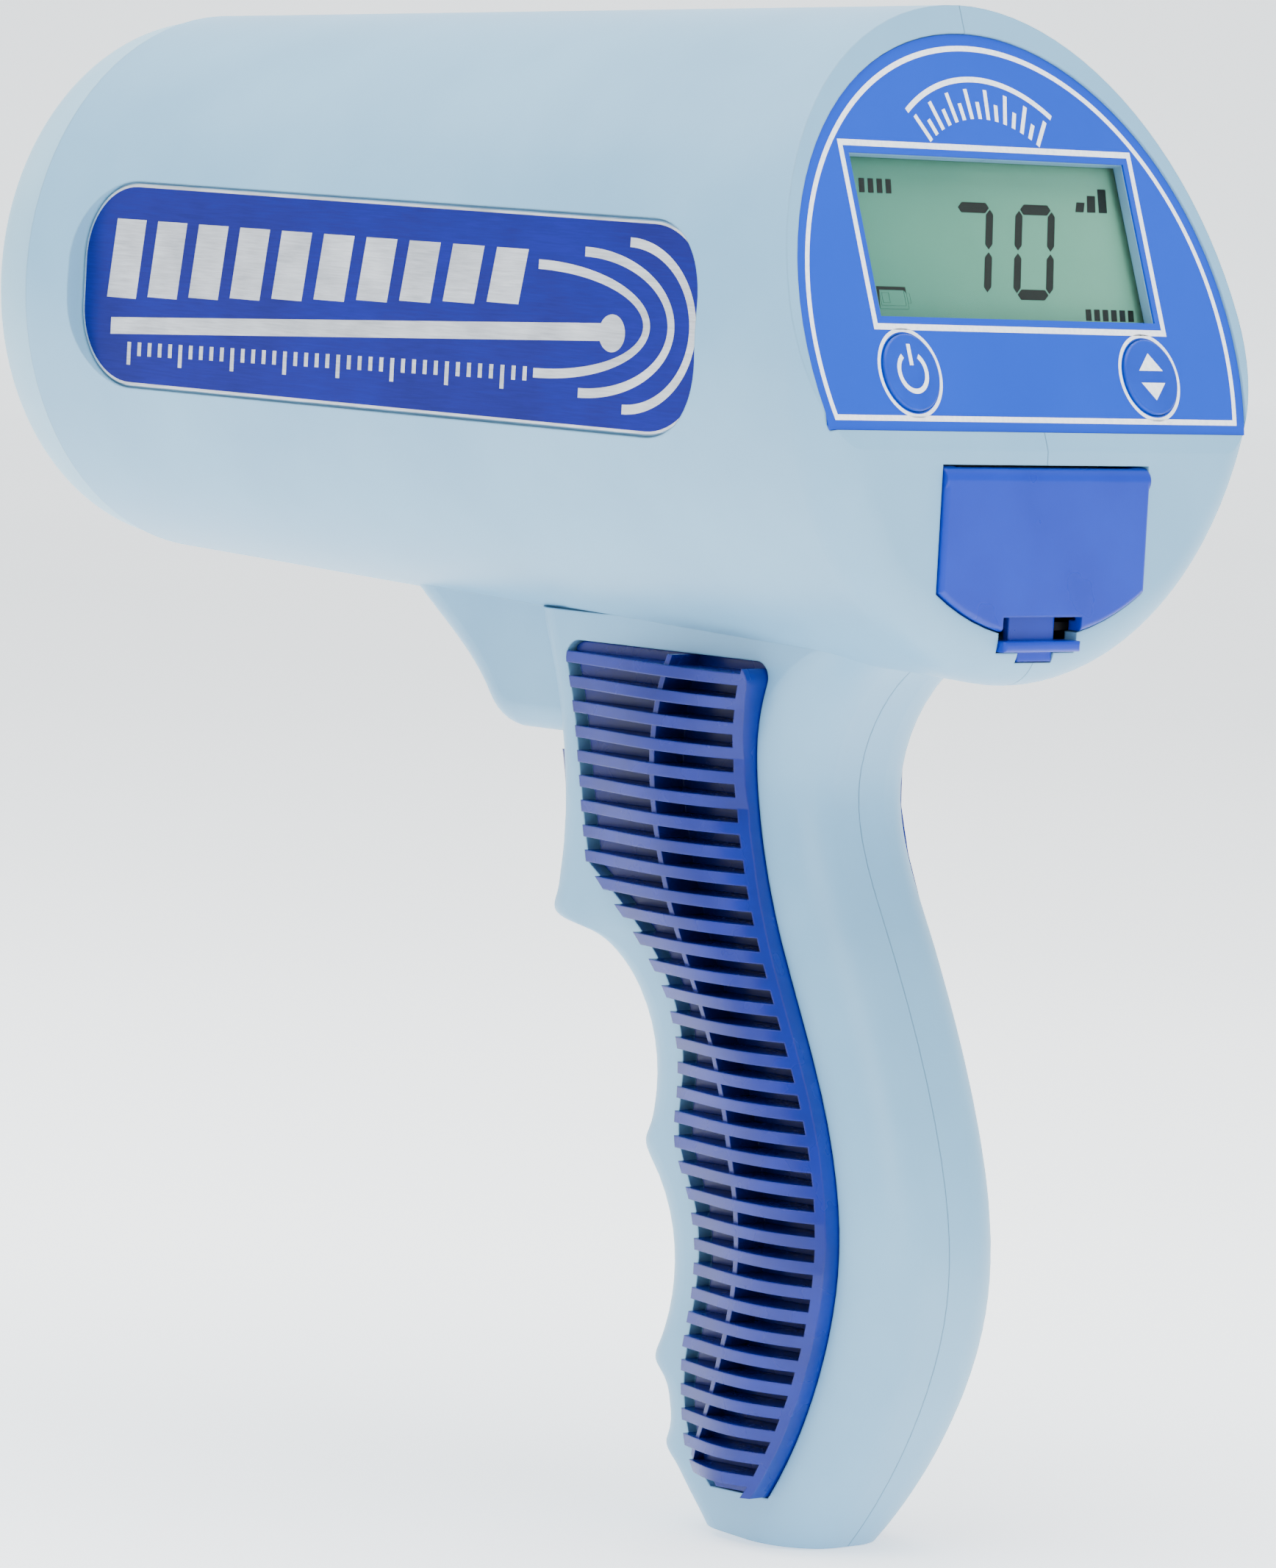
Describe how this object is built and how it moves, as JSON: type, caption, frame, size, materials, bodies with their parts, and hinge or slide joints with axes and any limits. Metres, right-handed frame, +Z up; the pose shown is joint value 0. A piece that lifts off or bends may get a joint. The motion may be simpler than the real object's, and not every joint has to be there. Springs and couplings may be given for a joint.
{
  "type": "speed radar gun",
  "caption": "Handheld speed radar gun: tapered barrel with radome, rear display and battery door, pistol grip with trigger.",
  "frame": {"origin": "mouth of the tripod socket in the foot of the grip", "axes": "+Z up along the grip, +Y forward along the barrel towards the antenna, +X to the right of the user"},
  "size_m": [0.1192, 0.2304, 0.275],
  "materials": {
    "housing_plastic": "fine moulded ABS",
    "radome_plastic": "moulded, microwave-clear plastic",
    "overlay_film": "printed polycarbonate film",
    "window_clear": "clear acrylic",
    "key_plastic": "moulded key cap",
    "door_plastic": "moulded ABS",
    "trigger_plastic": "moulded ABS",
    "grip_plastic": "ribbed moulding",
    "plate_aluminium": "brushed, screen printed",
    "brass": "turned brass",
    "screw_steel": "plated steel",
    "spring_steel": "nickel plated spring steel",
    "cast_aluminium": "cast and machined",
    "circuit_board": "glass epoxy with solder mask",
    "component_black": "moulded packages",
    "lcd_glass": "reflective display glass",
    "inner_plastic": "moulded",
    "inner_rubber": "elastomer",
    "cell_jacket": "shrink sleeve on a steel can"
  },
  "bodies": {
    "housing": {"antenna_screws": "screw_steel", "battery_left": "cell_jacket", "battery_right": "cell_jacket", "battery_sleeve": "inner_plastic", "battery_spring": "spring_steel", "battery_terminals": "spring_steel", "board_components": "component_black", "control_overlay": "overlay_film", "display_board": "circuit_board", "display_screws": "screw_steel", "display_window": "window_clear", "horn_antenna": "cast_aluminium", "housing_screws": "screw_steel", "lcd_bezel": "inner_plastic", "lcd_glass": "lcd_glass", "left_grip_insert": "grip_plastic", "left_housing": "housing_plastic", "left_nameplate": "plate_aluminium", "main_board": "circuit_board", "power_switch": "component_black", "radome": "radome_plastic", "right_grip_insert": "grip_plastic", "right_housing": "housing_plastic", "right_nameplate": "plate_aluminium", "select_switch": "component_black", "transceiver_block": "cast_aluminium", "trigger_pin": "screw_steel", "trigger_spring": "spring_steel", "trigger_switch": "component_black", "tripod_bush": "brass", "tuning_screw": "brass", "zebra_strips": "inner_rubber"},
    "door": {"battery_door": "door_plastic", "door_contact_strip": "spring_steel", "door_hinge_pins": "screw_steel", "latch_spring": "spring_steel"},
    "latch": {"door_latch": "door_plastic"},
    "trigger": {"trigger": "trigger_plastic"},
    "plunger": {"switch_plunger": "inner_plastic"},
    "power_button": {"power_key": "key_plastic", "power_switch_button": "inner_plastic"},
    "select_button": {"select_key": "key_plastic", "select_switch_button": "inner_plastic"}
  },
  "joints": [
    {"name": "door_hinge", "type": "hinge", "parent": "housing", "child": "door", "pos_m": [0, -0.0421, 0.1924], "axis": [-1, 0, 0], "range_deg": [0, 92]},
    {"name": "latch_slide", "type": "slide", "parent": "door", "child": "latch", "axis": [0, 0, 1], "range_m": [0, 0.0012], "stiffness_N_per_m": 400, "springref_m": -0.0008, "deforming": ["latch_spring"]},
    {"name": "trigger_pull", "type": "hinge", "parent": "housing", "child": "trigger", "pos_m": [0, 0.05, 0.1315], "axis": [-1, 0, 0], "range_deg": [0, 6], "stiffness_Nm_per_rad": 0.6, "springref_deg": -1.72, "deforming": ["trigger_spring"]},
    {"name": "plunger_slide", "type": "slide", "parent": "housing", "child": "plunger", "axis": [0, -1, 0], "range_m": [0, 0.0016]},
    {"name": "power_press", "type": "slide", "parent": "housing", "child": "power_button", "axis": [0, 0.9444, -0.3289], "range_m": [0, 0.0005], "stiffness_N_per_m": 1000, "springref_m": -0.0003},
    {"name": "select_press", "type": "slide", "parent": "housing", "child": "select_button", "axis": [0, 0.9444, -0.3289], "range_m": [0, 0.0005], "stiffness_N_per_m": 1000, "springref_m": -0.0003}
  ],
  "couplings": [
    {"joint": "plunger_slide", "follows": "trigger_pull", "m_per_rad": 0.0135}
  ]
}
